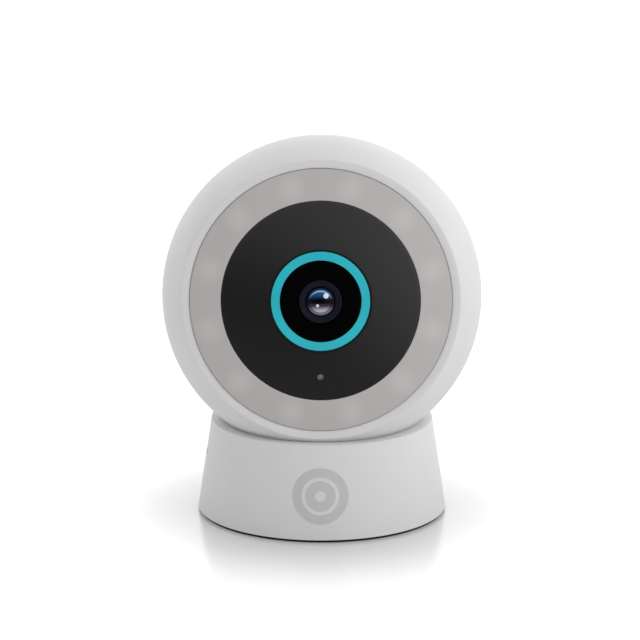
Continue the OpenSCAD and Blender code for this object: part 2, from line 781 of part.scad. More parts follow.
module front_frame() {
    wall_top = dome_crown;
    color(board_black) in_face() difference() {
        union() {
            translate([0, 0, ledge_z - frame_t]) cylinder(r = frame_r, h = frame_t);
            behind_dome() translate([0, 0, ledge_z - eps]) tube(panel_r - 0.1, panel_r - 0.1 - barrier_t, wall_top);
            for (x = [-12.5, 12.5], y = [-11, 11])
                translate([x, y, holder_z]) cylinder(r = 1.8, h = ledge_z - holder_z);
            for (x = [-22.5, 22.5]) translate([x, 26, main_board_z + board_t])
                cylinder(r = 2, h = ledge_z - main_board_z - board_t);
            for (a = [0 : 60 : 300]) rotate([0, 0, a + 30]) translate([24, 0, ledge_z - eps])
                cylinder(r = 1.4, h = ir_board_z - ledge_z + eps);
        }
        translate([0, 0, holder_z - cut]) cylinder(r = 13.4, h = 10);
        translate([0, -holder_w / 2 - 0.5, holder_z - cut]) cube([holder_w + 0.8, holder_w + 1, 10]);
        translate([-liner_half - 0.8, -frame_r - 1, holder_z - 1]) cube([2 * liner_half + 1.6, frame_r - 28, 4.4]);
        for (x = [-12.5, 12.5], y = [-11, 11])
            translate([x, y, holder_z - cut]) cylinder(r = 0.7, h = 3);
    }
}

module heat_sink() {
    color(steel) in_face() translate([0, 0, ledge_z]) difference() {
        tube(sink_r, panel_r + 0.1, sink_t);
        on_ring(24, sink_r + 0.5, -cut, 7.5) cylinder(r = 1, h = sink_t + 2 * cut, $fn = 24);
    }
}

module led_board() {
    color([0.88, 0.88, 0.86]) in_face() translate([0, 0, ledge_z + sink_t]) tube(sink_r - 0.6, panel_r + 0.1, board_t);
}

module white_leds() {
    color([0.95, 0.88, 0.55]) in_face()
        on_ring(lamp_count, lamp_ring_r, ledge_z + sink_t + board_t, 180 / lamp_count)
            translate([-1.75, -1.4, 0]) cube([3.5, 2.8, lamp_h]);
}

module led_diffuser() {
    color([0.69, 0.67, 0.67]) in_face() dome_ring(diffuser_r, panel_r + face_gap);
}

module face_panel() {
    color([0.09, 0.09, 0.09]) in_face() difference() {
        dome_ring(panel_r, status_r + 3 * face_gap);
        translate([0, -mic_drop, holder_z]) cylinder(r = mic_r, h = dome_crown);
    }
}

module status_ring() {
    color([0.16, 0.68, 0.73]) in_face() {
        dome_ring(status_r, status_inner_r);
        behind_dome() translate([0, 0, ir_board_z + board_t + 1]) tube(status_r - 0.5, status_inner_r, 10);
    }
}

module status_leds() {
    color([0.9, 0.95, 0.95]) in_face() on_ring(4, status_lamp_r, ir_board_z + board_t, 45)
        translate([-0.8, -0.8, 0]) cube([1.6, 1.6, 0.8]);
}

module lens_bezel() {
    color([0.02, 0.02, 0.02]) in_face() {
        dome_ring(status_inner_r - face_gap, barrel_r + 0.1);
        behind_dome() translate([0, 0, ir_board_z + board_t])
            tube(status_inner_r - face_gap, status_inner_r - 1.2, 10);
    }
}

module lens_barrel() {
    front = dome_z(barrel_r) + 0.35;
    color([0.07, 0.08, 0.12]) in_face() difference() {
        translate([0, 0, holder_z + holder_h]) cylinder(r = barrel_r, h = front - holder_z - holder_h);
        translate([0, 0, front - 2.2]) cylinder(r = glass_r, h = 4);
        translate([0, 0, front - 5.4]) cylinder(r = glass_r - 0.7, h = 6);
        translate([0, 0, holder_z]) cylinder(r = glass_r - 1.2, h = 30);
    }
}

module front_lens() {
    seat = dome_z(barrel_r) + 0.35 - 2.2;
    centre = seat + 1.7 - sqrt(glass_curve^2 - glass_r^2);
    color([0.35, 0.45, 0.75, 0.6]) in_face() difference() {
        intersection() {
            translate([0, 0, seat]) cylinder(r = glass_r, h = 8);
            translate([0, 0, centre]) sphere(r = glass_curve);
        }
        translate([0, 0, seat - 2.6]) sphere(r = 3.4);
    }
}

module rear_lens() {
    seat = dome_z(barrel_r) + 0.35 - 5.4;
    color([0.35, 0.3, 0.6, 0.6]) in_face() intersection() {
        translate([0, 0, seat]) cylinder(r = glass_r - 0.7, h = 3);
        translate([0, 0, seat + 2.2 - 4.6]) sphere(r = 4.6);
        translate([0, 0, seat + 4.9]) sphere(r = 5.2);
    }
}

module lens_holder() {
    color(board_black) in_face() difference() {
        union() {
            translate([-holder_w / 2, -holder_w / 2, holder_z]) cube([holder_w + 6.8, holder_w, holder_h]);
            translate([0, 0, holder_z]) cylinder(r = collar_r, h = holder_h + 1.4);
        }
        translate([0, 0, holder_z + holder_h]) cylinder(r = barrel_r, h = 4);
        translate([0, 0, holder_z - cut]) cylinder(r = 3.6, h = 10);
        translate([-4.4, -4, holder_z - cut]) cube([8.8, 8, cut + 1.2]);
        translate([-filter_w / 2 - filter_gap, -filter_w / 2 - filter_gap, filter_z - filter_gap])
            cube([filter_w + filter_travel + 2 * filter_gap, filter_w + 2 * filter_gap, filter_t + 2 * filter_gap]);
    }
}

module ir_cut_filter() {
    color([0.55, 0.25, 0.3, 0.7]) in_face() translate([-filter_w / 2, -filter_w / 2, filter_z])
        cube([filter_w, filter_w, filter_t]);
}

module sensor_board() {
    color(board_green) in_face() difference() {
        translate([-sensor_board_w / 2, -13, holder_z - board_t]) cube([sensor_board_w, 26, board_t]);
        for (x = [-12.5, 12.5], y = [-11, 11])
            translate([x, y, holder_z - board_t - cut]) cylinder(r = 0.7, h = 3);
    }
}

module image_sensor() {
    color([0.2, 0.22, 0.25]) in_face() translate([-3.6, -2.8, holder_z]) cube([7.2, 5.6, 0.9]);
}

module ir_board() {
    color(board_black) in_face() translate([0, 0, ir_board_z]) tube(panel_r - barrier_t - 0.4, 10.2, board_t);
}

module ir_leds() {
    color([0.25, 0.2, 0.3]) in_face() on_ring(ir_count, ir_ring_r, ir_board_z + board_t, 180 / ir_count) {
        translate([-1.6, -1.6, 0]) cube([3.2, 3.2, 0.8]);
        translate([0, 0, 0.8 - eps]) cylinder(r = 1.3, h = 0.9, $fn = 32);
    }
}

module microphone() {
    under = dome_z(mic_drop) - dome_wall;
    color(board_black) in_face() translate([0, -mic_drop, ir_board_z + board_t]) {
        cylinder(r = 2, h = 1.6);
        translate([0, 0, 1.6]) tube(2.4, 1.2, under - ir_board_z - board_t - 2.1);
    }
}

module mic_mesh() {
    color([0.55, 0.55, 0.55]) in_face() intersection() {
        translate([0, -mic_drop, holder_z]) cylinder(r = mic_r - 0.02, h = 20);
        difference() {
            translate([0, 0, dome_crown - dome_r]) sphere(r = dome_r - 0.5);
            translate([0, 0, dome_crown - dome_r]) sphere(r = dome_r - dome_wall);
        }
    }
}

// ---------- electronics in the head ----------

module main_board() {
    color(board_green) in_face() difference() {
        translate([-main_board[0] / 2, 2, main_board_z]) cube([main_board[0], main_board[1], board_t]);
        for (x = [-22.5, 22.5]) translate([x, 26, main_board_z - cut]) cylinder(r = 0.8, h = 4);
    }
}

module shield_can() {
    color(steel) in_face() {
        translate([-9, 13, main_board_z - 1.8]) cube([18, 15, 1.8]);
        translate([12, 14, main_board_z - 2.2]) cube([10, 10, 2.2]);
        translate([-20, 14, main_board_z - 1.2]) cube([8, 8, 1.2]);
        for (i = [0 : 3]) translate([-22 + 5 * i, 4, main_board_z + board_t]) cube([3.6, 2.6, 1.2]);
    }
}

module wifi_antenna() {
    color([0.75, 0.5, 0.15]) in_face() intersection() {
        difference() {
            sphere(r = head_in - 0.05);
            sphere(r = head_in - 0.45);
        }
        translate([-14, 0, -18]) cube([28, head_r, 8]);
    }
}

module speaker() {
    color(board_black) in_face() speaker_frame() translate([0, 0, speaker_out - speaker_h]) {
        difference() {
            cylinder(r = speaker_r, h = speaker_h);
            translate([0, 0, speaker_h + 6]) sphere(r = 7.6);
        }
        translate([0, 0, -2.4]) cylinder(r = 7, h = 2.4 + eps);
    }
}

module speaker_gasket() {
    color([0.1, 0.1, 0.1]) in_face() speaker_frame() intersection() {
        translate([0, 0, speaker_out]) tube(speaker_r - 0.2, speaker_r - 2.2, 8);
        sphere(r = head_in - 0.02);
    }
}

base_shell();
base_plate();
foot_ring();
tripod_insert();
ballast_plate();
base_frame();
base_screws();
front_badge();
power_board();
power_board_parts();
usb_c_jack();
reset_switch();
reset_button();
card_board();
card_socket();
pan_motor();
pan_pinion();
thrust_washer();
turntable();
pan_bush();
pan_clip();
neck_column();
neck_screws();
tilt_axle();
tilt_gear();
axle_clip();
tilt_pinion();
front_shell();
rear_shell();
slot_liner();
tilt_bushes();
tilt_motor();
motor_bracket();
front_frame();
heat_sink();
led_board();
white_leds();
led_diffuser();
face_panel();
status_ring();
status_leds();
lens_bezel();
lens_barrel();
front_lens();
rear_lens();
lens_holder();
ir_cut_filter();
sensor_board();
image_sensor();
ir_board();
ir_leds();
microphone();
mic_mesh();
main_board();
shield_can();
wifi_antenna();
speaker();
speaker_gasket();
head_screws();
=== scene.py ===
import math

import bmesh
import bpy
from mathutils import Matrix, Vector


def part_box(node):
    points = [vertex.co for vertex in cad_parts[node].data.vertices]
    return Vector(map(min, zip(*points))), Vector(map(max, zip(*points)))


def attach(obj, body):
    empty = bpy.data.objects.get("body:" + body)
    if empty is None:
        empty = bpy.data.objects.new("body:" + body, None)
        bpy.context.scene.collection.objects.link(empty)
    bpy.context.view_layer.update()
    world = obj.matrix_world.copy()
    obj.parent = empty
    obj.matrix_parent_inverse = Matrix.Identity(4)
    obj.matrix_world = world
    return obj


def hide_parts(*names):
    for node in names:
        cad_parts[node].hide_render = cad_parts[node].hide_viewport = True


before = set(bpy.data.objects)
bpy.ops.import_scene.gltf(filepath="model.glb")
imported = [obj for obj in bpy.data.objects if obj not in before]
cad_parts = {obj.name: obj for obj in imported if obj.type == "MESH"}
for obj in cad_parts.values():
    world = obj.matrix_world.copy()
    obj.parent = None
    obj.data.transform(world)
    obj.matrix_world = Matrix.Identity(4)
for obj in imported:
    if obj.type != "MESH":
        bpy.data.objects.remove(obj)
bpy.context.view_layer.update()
print("frame loaded with", len(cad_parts), "nodes")

mm = 0.001
fullTurn = 2 * math.pi

# the ball's centre is on the tilt axle, and the lens looks up a little at rest
restTilt = 9
axleLow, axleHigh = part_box("tilt_axle")
ballCentre = Vector((0, (axleLow.y + axleHigh.y) / 2, (axleLow.z + axleHigh.z) / 2))
lensTurn = math.radians(90 - restTilt)
faceMatrix = Matrix.Translation(ballCentre) @ Matrix.Rotation(lensTurn, 4, "X")


class Wire:
    # a socket of a material; sums of wires and numbers become Math nodes
    def __init__(self, tree, socket=None):
        self.tree = tree
        self.socket = socket

    def node(self, kind, settings=None, inputs=None, output=0):
        made = self.tree.nodes.new("ShaderNode" + kind)
        for name, value in (settings or {}).items():
            setattr(made, name, value)
        for name, value in (inputs or {}).items():
            if isinstance(value, Wire):
                self.tree.links.new(value.socket, made.inputs[name])
            elif hasattr(value, "__len__") and made.inputs[name].type == "RGBA":
                made.inputs[name].default_value = (*value, 1)
            else:
                made.inputs[name].default_value = value
        return Wire(self.tree, made.outputs[output]) if made.outputs else None

    def maths(self, operation, *values):
        return self.node("Math", {"operation": operation}, dict(enumerate(values)))

    def __add__(self, other):
        return self.maths("ADD", self, other)

    def __sub__(self, other):
        return self.maths("SUBTRACT", self, other)

    def __mul__(self, other):
        return self.maths("MULTIPLY", self, other)

    def __pow__(self, other):
        return self.maths("POWER", self, other)

    def __rsub__(self, other):
        return self.maths("SUBTRACT", other, self)

    __radd__ = __add__
    __rmul__ = __mul__


def newFinish(name):
    material = bpy.data.materials.new(name)
    material.use_nodes = True
    material.node_tree.nodes.clear()
    return material, Wire(material.node_tree)


def surface(paint, inputs):
    shader = paint.node("BsdfPrincipled", {}, inputs)
    paint.node("OutputMaterial", {}, {"Surface": shader})


def objectPlace(paint):
    return paint.node("TexCoord", output="Object")


def facePlace(paint):
    # x to the right, y up and z forward from the ball's centre
    return paint.node("Mapping", {"vector_type": "TEXTURE"},
                      {"Vector": objectPlace(paint), "Location": ballCentre, "Rotation": (lensTurn, 0, 0)})


def noise(paint, place, scale, detail=3.0, roughness=0.5):
    return paint.node("TexNoise", {},
                      {"Vector": place, "Scale": scale, "Detail": detail, "Roughness": roughness})


def blendColours(paint, share, first, second):
    return paint.node("Mix", {"data_type": "RGBA"}, {0: share, 6: first, 7: second}, 2)


def step(paint, value, start, end):
    # eases from 0 to 1 while value goes from start to end
    return paint.node("MapRange", {"interpolation_type": "SMOOTHSTEP"},
                      {"Value": value, "From Min": start, "From Max": end})


def span(paint, value, reach):
    # the same over a reach given in millimetres
    return step(paint, value, reach[0] * mm, reach[1] * mm)


def axes(paint, place):
    split = paint.node("SeparateXYZ", {}, {"Vector": place}).socket.node
    return [Wire(paint.tree, output) for output in split.outputs]


def bump(paint, height, strength, distance):
    return paint.node("Bump", {}, {"Height": height, "Strength": strength, "Distance": distance})


def plastic(name, look):
    # moulded plastic with a fine spark texture and faint clouding
    material, paint = newFinish(name)
    place = objectPlace(paint)
    spark = noise(paint, place, look["sparkScale"], 2.0)
    cloud = noise(paint, place, look["cloudScale"], 4.0, 0.6)
    colour = blendColours(paint, step(paint, cloud, 0.3, 0.7), look["colour"], look["shade"])
    surface(paint, {
        "Base Color": colour,
        "Roughness": look["roughness"] + (cloud - 0.5) * 0.12 + (spark - 0.5) * 0.08,
        "Specular IOR Level": look["gloss"],
        "Normal": bump(paint, spark, look["bump"], 0.03 * mm),
    })
    return material


def metal(name, look):
    # drawn metal: fine lines along one axis over a slow stain
    material, paint = newFinish(name)
    place = objectPlace(paint)
    drawn = paint.node("Mapping", {}, {"Vector": place, "Scale": look["drawn"]})
    lines = noise(paint, drawn, look["lineScale"], 3.0)
    stain = noise(paint, place, 140.0, 4.0, 0.6)
    surface(paint, {
        "Base Color": blendColours(paint, step(paint, stain, 0.3, 0.75), look["colour"], look["shade"]),
        "Metallic": 1.0,
        "Roughness": look["roughness"] + (lines - 0.5) * 0.2 + (stain - 0.5) * 0.1,
        "Normal": bump(paint, lines, 0.25, 0.02 * mm),
    })
    return material


def board(name, look):
    # circuit board: solder mask with raised tracks and plated pads
    material, paint = newFinish(name)
    place = objectPlace(paint)
    layout = {"offset": 0.37, "offset_frequency": 3, "squash": 0.6, "squash_frequency": 2}
    tracks = paint.node("TexBrick", layout,
                        {"Vector": place, "Scale": 260.0, "Mortar Size": 0.035, "Mortar Smooth": 0.3}, "Fac")
    cells = paint.node("TexVoronoi", {}, {"Vector": place, "Scale": 420.0}, "Distance")
    pads = step(paint, cells, 0.16, 0.12)
    grain = noise(paint, place, 900.0, 3.0)
    mask = blendColours(paint, tracks, look["colour"], look["track"])
    surface(paint, {
        "Base Color": blendColours(paint, pads, mask, look["pad"]),
        "Roughness": 0.38 + (grain - 0.5) * 0.2 - pads * 0.1,
        "Metallic": pads * 0.8,
        "Normal": bump(paint, tracks + pads + grain * 0.2, 0.3, 0.03 * mm),
    })
    return material


def diffuserFinish(look):
    # milky ring over the lamps, with a painted glow: a little brighter where each lamp sits
    material, paint = newFinish("milky diffuser")
    place = facePlace(paint)
    x, y, _ = axes(paint, place)
    radius = (x * x + y * y) ** 0.5
    share = paint.maths("ARCTAN2", y, x) * (look["lamps"] / fullTurn)
    along = (paint.maths("FRACT", share) - 0.5) * (fullTurn / look["lamps"]) * radius
    across = radius - look["lampRadius"] * mm
    away = (along * along + across * across) ** 0.5
    # painted glow round each lamp
    glow = span(paint, away, look["glowReach"])
    cloud = noise(paint, place, 160.0, 3.0)
    grain = noise(paint, place, 4200.0, 2.0)
    rim = span(paint, radius, look["rimReach"])
    milk = blendColours(paint, glow, look["colour"], look["glow"])
    surface(paint, {
        "Base Color": blendColours(paint, rim, milk, look["rim"]),
        "Roughness": 0.46 + (cloud - 0.5) * 0.1 + (grain - 0.5) * 0.05,
        "Specular IOR Level": 0.3,
        "Normal": bump(paint, grain, 0.12, 0.02 * mm),
    })
    return material


def panelFinish(look):
    # black panel with a soft satin front, faint wipe marks and a painted sheen towards the upper right
    material, paint = newFinish("satin black panel")
    place = facePlace(paint)
    wiped = paint.node("Mapping", {}, {"Vector": place, "Rotation": (0, 0, 0.6), "Scale": (1, 7, 1)})
    wipe = noise(paint, wiped, 60.0, 4.0, 0.6)
    grain = noise(paint, place, 5200.0, 2.0)
    dust = step(paint, noise(paint, place, 1500.0, 1.0), 0.73, 0.8)
    x, y, _ = axes(paint, place)
    lip = span(paint, (x * x + y * y) ** 0.5, look["lipReach"])
    # painted sheen: the base colour is a shade lighter towards the upper right, where the key light falls
    paintedSheen = blendColours(paint, span(paint, x * 0.6 + y, look["paintedSheenReach"]), look["colour"], look["paintedSheen"])
    satin = blendColours(paint, dust * 0.25, paintedSheen, look["dust"])
    surface(paint, {
        "Base Color": blendColours(paint, lip, satin, look["lip"]),
        "Roughness": look["roughness"] + (wipe - 0.5) * 0.08 + (grain - 0.5) * 0.04,
        "Specular IOR Level": look["gloss"],
        "Normal": bump(paint, grain, 0.08, 0.015 * mm),
    })
    return material


def statusFinish(look):
    # light guide of the status ring, lit from the lamps behind it
    material, paint = newFinish("status light guide")
    place = facePlace(paint)
    x, y, _ = axes(paint, place)
    share = paint.maths("ARCTAN2", y, x) * (look["lamps"] / fullTurn)
    near = 1 - paint.maths("ABSOLUTE", paint.maths("FRACT", share) - 0.5) * 2
    cloud = noise(paint, place, 400.0, 3.0)
    lit = step(paint, near, 0.0, 1.0)
    surface(paint, {
        "Base Color": look["colour"],
        "Roughness": 0.35 + (cloud - 0.5) * 0.12,
        "Specular IOR Level": 0.3,
        "Emission Color": blendColours(paint, lit, look["lightLow"], look["lightHigh"]),
        "Emission Strength": look["strength"],
        "Normal": bump(paint, cloud, 0.05, 0.02 * mm),
    })
    return material


def lensFinish(look):
    # glass with painted reflections: blue dome above, a dark band across, violet below with fine rings,
    # painted shade round the upper edge, darker round the rim, and two painted highlights (glints)
    material, paint = newFinish("lens glass painted reflections")
    place = facePlace(paint)
    x, y, _ = axes(paint, place)

    def away(acrossBy, upBy):
        across, up = x - acrossBy * mm, y - upBy * mm
        return (across * across + up * up) ** 0.5

    radius = away(0, 0)
    above = span(paint, y, look["aboveReach"])
    below = span(paint, y, look["belowReach"])
    # painted reflections: a blue dome with a pale crescent above, violet with fine rings below
    blue = blendColours(paint, span(paint, y, look["blueReach"]), look["night"], look["blue"])
    inner = span(paint, radius, look["innerReach"])
    crescent = span(paint, away(0, look["crescentDrop"]), look["crescentReach"]) * inner
    upper = blendColours(paint, crescent, blue, look["pale"])
    violet = blendColours(paint, span(paint, y, look["violetReach"]), look["violet"], look["lilac"])
    rings = paint.maths("SINE", radius * (look["rings"] / mm)) * 0.5 + 0.5
    outside = span(paint, radius, look["ringsStart"]) * span(paint, radius, look["ringsEnd"])
    lower = blendColours(paint, outside * (0.35 + rings * 0.6), violet, look["dark"])
    colour = blendColours(paint, above, look["dark"], upper)
    colour = blendColours(paint, below, colour, lower)
    # painted shade round the upper edge of the glass
    shade = span(paint, radius, look["paintedShadeReach"]) * above * 0.75
    colour = blendColours(paint, shade, colour, look["dark"])
    colour = blendColours(paint, span(paint, radius, look["edgeReach"]), colour, look["dark"])
    # two painted highlights
    paintedGlints = [span(paint, away(*spot["place"]), spot["reach"]) for spot in look["paintedGlints"]]
    colour = blendColours(paint, sum(paintedGlints) * 0.9, colour, look["paintedGlint"])
    smear = noise(paint, place, 500.0, 2.0)
    surface(paint, {
        "Base Color": colour,
        "Roughness": 0.05 + smear * 0.05,
        "Specular IOR Level": look["gloss"],
        "Normal": bump(paint, smear, 0.02, 0.01 * mm),
    })
    return material


def badgeFinish(look):
    # printed disc with a plain ring and dot in the shell's own tone
    material, paint = newFinish("badge print")
    place = objectPlace(paint)
    x, _, z = axes(paint, place)
    up = z - look["height"] * mm
    radius = (x * x + up * up) ** 0.5
    offRing = paint.maths("ABSOLUTE", radius - look["ring"] * mm)
    ring = span(paint, offRing, (look["line"], look["line"] - look["soft"]))
    dot = span(paint, radius, (look["dot"], look["dot"] - look["soft"]))
    ink = noise(paint, place, 700.0, 4.0, 0.6)
    grain = noise(paint, place, 3600.0, 2.0)
    printed = blendColours(paint, ink, look["colour"], look["shade"])
    surface(paint, {
        "Base Color": blendColours(paint, ring + dot, printed, look["mark"]),
        "Roughness": 0.42 + (ink - 0.5) * 0.15,
        "Specular IOR Level": 0.4,
        "Normal": bump(paint, grain, 0.1, 0.02 * mm),
    })
    return material


def tableFinish(look):
    # polished white top that glows faintly, more to the eye than to what stands on it
    material, paint = newFinish("polished table")
    place = objectPlace(paint)
    cloud = noise(paint, place, 9.0, 3.0)
    x, y, _ = axes(paint, place)
    seen = paint.node("LightPath", output="Is Camera Ray")
    glow = span(paint, (x * x + y * y) ** 0.5, look["glowReach"])
    glow = glow * (seen * (1 - look["glowCast"]) + look["glowCast"])
    surface(paint, {
        "Base Color": look["colour"],
        "Roughness": look["roughness"] + (cloud - 0.5) * 0.03,
        "IOR": look["ior"],
        "Emission Color": blendColours(paint, glow, look["glowNear"], (1.0, 1.0, 1.0)),
        "Emission Strength": look["glow"],
    })
    return material


finishes = {
    "shell_white": plastic("shell white", {
        "colour": (0.78, 0.78, 0.775), "shade": (0.755, 0.755, 0.75), "roughness": 0.46, "gloss": 0.45,
        "sparkScale": 3200.0, "cloudScale": 45.0, "bump": 0.16}),
    "inner_white": plastic("inner white", {
        "colour": (0.70, 0.70, 0.69), "shade": (0.66, 0.66, 0.65), "roughness": 0.55, "gloss": 0.4,
        "sparkScale": 2400.0, "cloudScale": 90.0, "bump": 0.25}),
    "foot_rubber": plastic("foot rubber", {
        "colour": (0.012, 0.012, 0.013), "shade": (0.02, 0.02, 0.02), "roughness": 0.8, "gloss": 0.2,
        "sparkScale": 1800.0, "cloudScale": 220.0, "bump": 0.6}),
    "gear_plastic": plastic("gear acetal", {
        "colour": (0.74, 0.73, 0.68), "shade": (0.68, 0.67, 0.62), "roughness": 0.35, "gloss": 0.5,
        "sparkScale": 1500.0, "cloudScale": 160.0, "bump": 0.12}),
    "frame_black": plastic("frame black", {
        "colour": (0.022, 0.022, 0.024), "shade": (0.03, 0.03, 0.032), "roughness": 0.6, "gloss": 0.35,
        "sparkScale": 2200.0, "cloudScale": 120.0, "bump": 0.35}),
    "chip_black": plastic("chip resin", {
        "colour": (0.025, 0.025, 0.027), "shade": (0.04, 0.04, 0.042), "roughness": 0.5, "gloss": 0.4,
        "sparkScale": 5000.0, "cloudScale": 400.0, "bump": 0.3}),
    "bezel_black": plastic("bezel black", {
        "colour": (0.0014, 0.0014, 0.0016), "shade": (0.002, 0.002, 0.0022), "roughness": 0.42, "gloss": 0.0,
        "sparkScale": 4200.0, "cloudScale": 200.0, "bump": 0.05}),
    "barrel_black": plastic("barrel anodised", {
        "colour": (0.0055, 0.008, 0.019), "shade": (0.011, 0.010, 0.021), "roughness": 0.4, "gloss": 0.12,
        "sparkScale": 5200.0, "cloudScale": 300.0, "bump": 0.08}),
    "badge_grey": badgeFinish({
        "colour": (0.61, 0.61, 0.61), "shade": (0.59, 0.59, 0.59), "mark": (0.755, 0.755, 0.75),
        "height": 12.9, "ring": 4.7, "line": 0.55, "dot": 1.5, "soft": 0.12}),
    "lamp_yellow": plastic("lamp phosphor", {
        "colour": (0.80, 0.66, 0.22), "shade": (0.85, 0.74, 0.35), "roughness": 0.4, "gloss": 0.4,
        "sparkScale": 4000.0, "cloudScale": 500.0, "bump": 0.2}),
    "lamp_white": plastic("lamp white", {
        "colour": (0.80, 0.85, 0.85), "shade": (0.74, 0.8, 0.8), "roughness": 0.35, "gloss": 0.5,
        "sparkScale": 4000.0, "cloudScale": 500.0, "bump": 0.15}),
    "lamp_dark": plastic("lamp infrared", {
        "colour": (0.05, 0.035, 0.06), "shade": (0.07, 0.05, 0.08), "roughness": 0.18, "gloss": 0.5,
        "sparkScale": 3000.0, "cloudScale": 500.0, "bump": 0.05}),
    "filter_glass": plastic("filter glass", {
        "colour": (0.32, 0.07, 0.10), "shade": (0.24, 0.05, 0.12), "roughness": 0.08, "gloss": 0.6,
        "sparkScale": 900.0, "cloudScale": 260.0, "bump": 0.02}),
    "mesh_grey": plastic("port mesh", {
        "colour": (0.35, 0.34, 0.33), "shade": (0.12, 0.12, 0.12), "roughness": 0.5, "gloss": 0.4,
        "sparkScale": 5200.0, "cloudScale": 2600.0, "bump": 0.7}),
    "plated_steel": metal("plated steel", {
        "colour": (0.58, 0.59, 0.61), "shade": (0.48, 0.49, 0.51), "roughness": 0.3,
        "drawn": (1, 1, 12), "lineScale": 900.0}),
    "heat_sink": metal("anodised sink", {
        "colour": (0.50, 0.51, 0.52), "shade": (0.42, 0.43, 0.44), "roughness": 0.45,
        "drawn": (10, 1, 1), "lineScale": 700.0}),
    "brass": metal("turned brass", {
        "colour": (0.72, 0.50, 0.20), "shade": (0.60, 0.40, 0.15), "roughness": 0.28,
        "drawn": (1, 1, 14), "lineScale": 800.0}),
    "antenna": metal("antenna copper", {
        "colour": (0.70, 0.42, 0.20), "shade": (0.62, 0.36, 0.16), "roughness": 0.35,
        "drawn": (1, 8, 1), "lineScale": 900.0}),
    "board_green": board("green board", {
        "colour": (0.012, 0.085, 0.035), "track": (0.02, 0.14, 0.06), "pad": (0.75, 0.62, 0.32)}),
    "board_black": board("black board", {
        "colour": (0.012, 0.012, 0.014), "track": (0.022, 0.022, 0.026), "pad": (0.70, 0.60, 0.35)}),
    "board_white": board("white board", {
        "colour": (0.74, 0.74, 0.72), "track": (0.80, 0.80, 0.78), "pad": (0.72, 0.66, 0.52)}),
    # the diffuser's glow colour is painted lamp glow
    "diffuser": diffuserFinish({
        "lamps": 12, "lampRadius": 31.66, "glowReach": (5.4, 0.2), "rimReach": (35.2, 36),
        "colour": (0.538, 0.51, 0.51), "glow": (0.6, 0.572, 0.572), "rim": (0.522, 0.5, 0.5)}),
    # the panel's second colour, lighter towards the upper right, is painted sheen
    "panel_black": panelFinish({
        "colour": (0.004, 0.004, 0.004), "paintedSheen": (0.0295, 0.0295, 0.0295), "paintedSheenReach": (-20, 24),
        "dust": (0.06, 0.06, 0.06), "roughness": 0.38, "gloss": 0.26,
        "lip": (0.0015, 0.0015, 0.0015), "lipReach": (14.2, 13.9)}),
    "status_cyan": statusFinish({
        "colour": (0.012, 0.20, 0.25), "lightLow": (0.012, 0.262, 0.305), "lightHigh": (0.015, 0.295, 0.345),
        "strength": 0.9, "lamps": 4}),
    # the lens colours are painted reflections, painted shade and painted highlights
    "lens_glass": lensFinish({
        "night": (0.003, 0.008, 0.03), "blue": (0.012, 0.085, 0.25), "pale": (0.30, 0.50, 0.68),
        "violet": (0.035, 0.022, 0.06), "lilac": (0.62, 0.55, 0.68), "dark": (0.0012, 0.0012, 0.004),
        "paintedGlint": (0.95, 0.97, 1.0), "rings": 21.0, "gloss": 0.08, "crescentDrop": -0.9,
        "aboveReach": (0.45, 1.0), "belowReach": (-0.35, -0.75), "blueReach": (0.6, 2.3),
        "innerReach": (3.3, 3.0), "crescentReach": (3.35, 3.75), "violetReach": (-0.9, -2.9),
        "ringsStart": (2.75, 3.0), "ringsEnd": (3.85, 3.6), "paintedShadeReach": (3.0, 3.35),
        "edgeReach": (3.55, 3.85),
        "paintedGlints": [
            {"place": (1.5, 1.65), "reach": (0.85, 0.55)},
            {"place": (-0.8, -1.05), "reach": (0.5, 0.3)},
        ],
    }),
}
print("finishes made:", len(finishes))


def drawArc(bm, start, centre, degrees, steps):
    # swings a vertex about a centre in the x-z plane and returns the last one
    made = bmesh.ops.spin(bm, geom=[start], cent=(centre[0] * mm, 0, centre[1] * mm), axis=(0, 1, 0),
                          angle=math.radians(degrees), steps=steps)
    return [v for v in made["geom_last"] if isinstance(v, bmesh.types.BMVert)][0]


def turned(outline, turns, corner=0.0, cornerAngle=25, cornerSegments=3):
    # turns an outline of (radius, height) points about z; an arc is (radius, height, centreHeight, steps)
    bm = bmesh.new()
    first = last = bm.verts.new((outline[0][0] * mm, 0, outline[0][1] * mm))
    for point in outline[1:]:
        if len(point) == 4:
            radius, height, centre, steps = point
            here = math.atan2(last.co.z / mm - centre, last.co.x / mm)
            there = math.atan2(height - centre, radius)
            last = drawArc(bm, last, (0, centre), math.degrees(here - there), steps)
        else:
            placed = bm.verts.new((point[0] * mm, 0, point[1] * mm))
            bm.edges.new((last, placed))
            last = placed
    bm.edges.new((last, first))
    bmesh.ops.spin(bm, geom=bm.verts[:] + bm.edges[:], cent=(0, 0, 0), axis=(0, 0, 1), angle=fullTurn,
                   steps=turns, use_merge=True)
    bmesh.ops.remove_doubles(bm, verts=bm.verts, dist=0.002 * mm)
    bmesh.ops.recalc_face_normals(bm, faces=bm.faces)
    if corner:
        sharp = [e for e in bm.edges if e.is_manifold and e.calc_face_angle() > math.radians(cornerAngle)]
        bmesh.ops.bevel(bm, geom=sharp, offset=corner * mm, affect="EDGES", segments=cornerSegments,
                        profile=0.5, material=-1, clamp_overlap=True)
    return bm


def makePiece(name, bm, body, slotName, nodes, smoothBelow=30):
    mesh = bpy.data.meshes.new(name)
    bmesh.ops.recalc_face_normals(bm, faces=bm.faces)
    bm.to_mesh(mesh)
    bm.free()
    mesh.materials.append(finishes[slotName])
    mesh.shade_smooth()
    mesh.set_sharp_from_angle(angle=math.radians(smoothBelow))
    piece = bpy.data.objects.new(name, mesh)
    bpy.context.scene.collection.objects.link(piece)
    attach(piece, body)
    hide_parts(*nodes)


def makeFacePiece(name, bm, slotName, node, smoothBelow=30):
    # brings a piece from the face's own axes to its place in the head
    bmesh.ops.transform(bm, matrix=faceMatrix, verts=bm.verts)
    makePiece(name, bm, "head", slotName, [node], smoothBelow)


